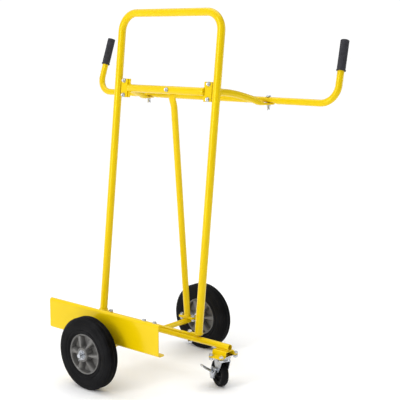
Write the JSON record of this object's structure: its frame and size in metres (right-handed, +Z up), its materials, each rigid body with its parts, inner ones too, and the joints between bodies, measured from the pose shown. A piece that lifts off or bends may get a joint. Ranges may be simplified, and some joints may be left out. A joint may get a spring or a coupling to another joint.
{
  "type": "panel trolley",
  "caption": "Side-loading panel trolley: T-shaped tube chassis on large wheels and a braked castor, leaning hoop frame, rear strut and wide handle bar with grips.",
  "frame": {"origin": "on the ground, at the centre of the footprint", "axes": "+Z up, +X along the main tube towards the castor, +Y along the wheel axle towards the handle bar"},
  "size_m": [1.164, 0.7372, 1.2804],
  "materials": {
    "yellow_paint": "smooth gloss powder coat",
    "zinc": "bright zinc plating",
    "tyre_rubber": "satin black rubber with ribs round it",
    "rim_grey": "satin cast",
    "grip_rubber": "matte ribbed",
    "bearing_steel": "ground"
  },
  "bodies": {
    "chassis": {"main_tube": "yellow_paint", "deck_strip": "yellow_paint", "cross_tube": "yellow_paint", "cross_saddle_plate": "yellow_paint", "strut_seat_plate": "yellow_paint", "wheel_guard": "yellow_paint", "guard_seat": "yellow_paint", "castor_saddle": "yellow_paint", "left_foot_plate": "yellow_paint", "right_foot_plate": "yellow_paint", "hoop_frame": "yellow_paint", "crossbar": "yellow_paint", "left_leg_bracket": "yellow_paint", "right_leg_bracket": "yellow_paint", "rear_strut": "yellow_paint", "handle_bar": "yellow_paint", "left_support_arm": "yellow_paint", "right_support_arm": "yellow_paint", "left_leg_bolt": "zinc", "left_tee_bolt": "zinc", "left_strut_bolt": "zinc", "left_lower_bracket_bolt": "zinc", "left_upper_bracket_bolt": "zinc", "left_wing_bolt": "zinc", "right_leg_bolt": "zinc", "right_tee_bolt": "zinc", "right_strut_bolt": "zinc", "right_lower_bracket_bolt": "zinc", "right_upper_bracket_bolt": "zinc", "right_wing_bolt": "zinc", "castor_bolt_1": "zinc", "castor_bolt_2": "zinc", "castor_bolt_3": "zinc", "castor_bolt_4": "zinc", "crossbar_bolt": "zinc", "axle_rod": "zinc", "near_washer": "zinc", "near_split_pin": "zinc", "far_washer": "zinc", "far_split_pin": "zinc", "castor_plate": "zinc", "castor_kingpin": "zinc", "left_grip": "grip_rubber", "right_grip": "grip_rubber"},
    "near_wheel": {"near_tyre": "tyre_rubber", "near_rim": "rim_grey", "near_inner_bearing": "bearing_steel", "near_outer_bearing": "bearing_steel"},
    "far_wheel": {"far_tyre": "tyre_rubber", "far_rim": "rim_grey", "far_inner_bearing": "bearing_steel", "far_outer_bearing": "bearing_steel"},
    "castor_swivel": {"castor_fork": "zinc", "castor_axle_bolt": "zinc", "brake_pin": "zinc"},
    "castor_wheel": {"castor_tyre": "tyre_rubber", "castor_hub": "tyre_rubber"},
    "brake": {"brake_lever": "zinc"},
    "left_wing": {"left_wing_nut": "zinc"},
    "right_wing": {"right_wing_nut": "zinc"}
  },
  "joints": [
    {"name": "near_wheel_spin", "type": "hinge", "parent": "chassis", "child": "near_wheel", "pos_m": [0, -0.32256, 0.125], "axis": [0, 1, 0], "continuous": true},
    {"name": "far_wheel_spin", "type": "hinge", "parent": "chassis", "child": "far_wheel", "pos_m": [0, 0.27344, 0.125], "axis": [0, 1, 0], "continuous": true},
    {"name": "castor_swivel", "type": "hinge", "parent": "chassis", "child": "castor_swivel", "pos_m": [0.347, -0.02456, 0.1], "axis": [0, 0, 1], "continuous": true},
    {"name": "castor_wheel_spin", "type": "hinge", "parent": "castor_swivel", "child": "castor_wheel", "pos_m": [0.32325, -0.01398, 0.048], "axis": [-0.4067, -0.9135, 0], "continuous": true},
    {"name": "brake_press", "type": "hinge", "parent": "castor_swivel", "child": "brake", "pos_m": [0.31389, -0.035, 0.066], "axis": [-0.9135, 0.4067, 0], "range_deg": [-8, 0]},
    {"name": "left_wing_nut_turn", "type": "hinge", "parent": "chassis", "child": "left_wing", "pos_m": [-0.291, 0.29044, 0.94], "axis": [0, 0, 1], "continuous": true},
    {"name": "right_wing_nut_turn", "type": "hinge", "parent": "chassis", "child": "right_wing", "pos_m": [0.291, 0.29044, 0.94], "axis": [0, 0, 1], "continuous": true}
  ]
}
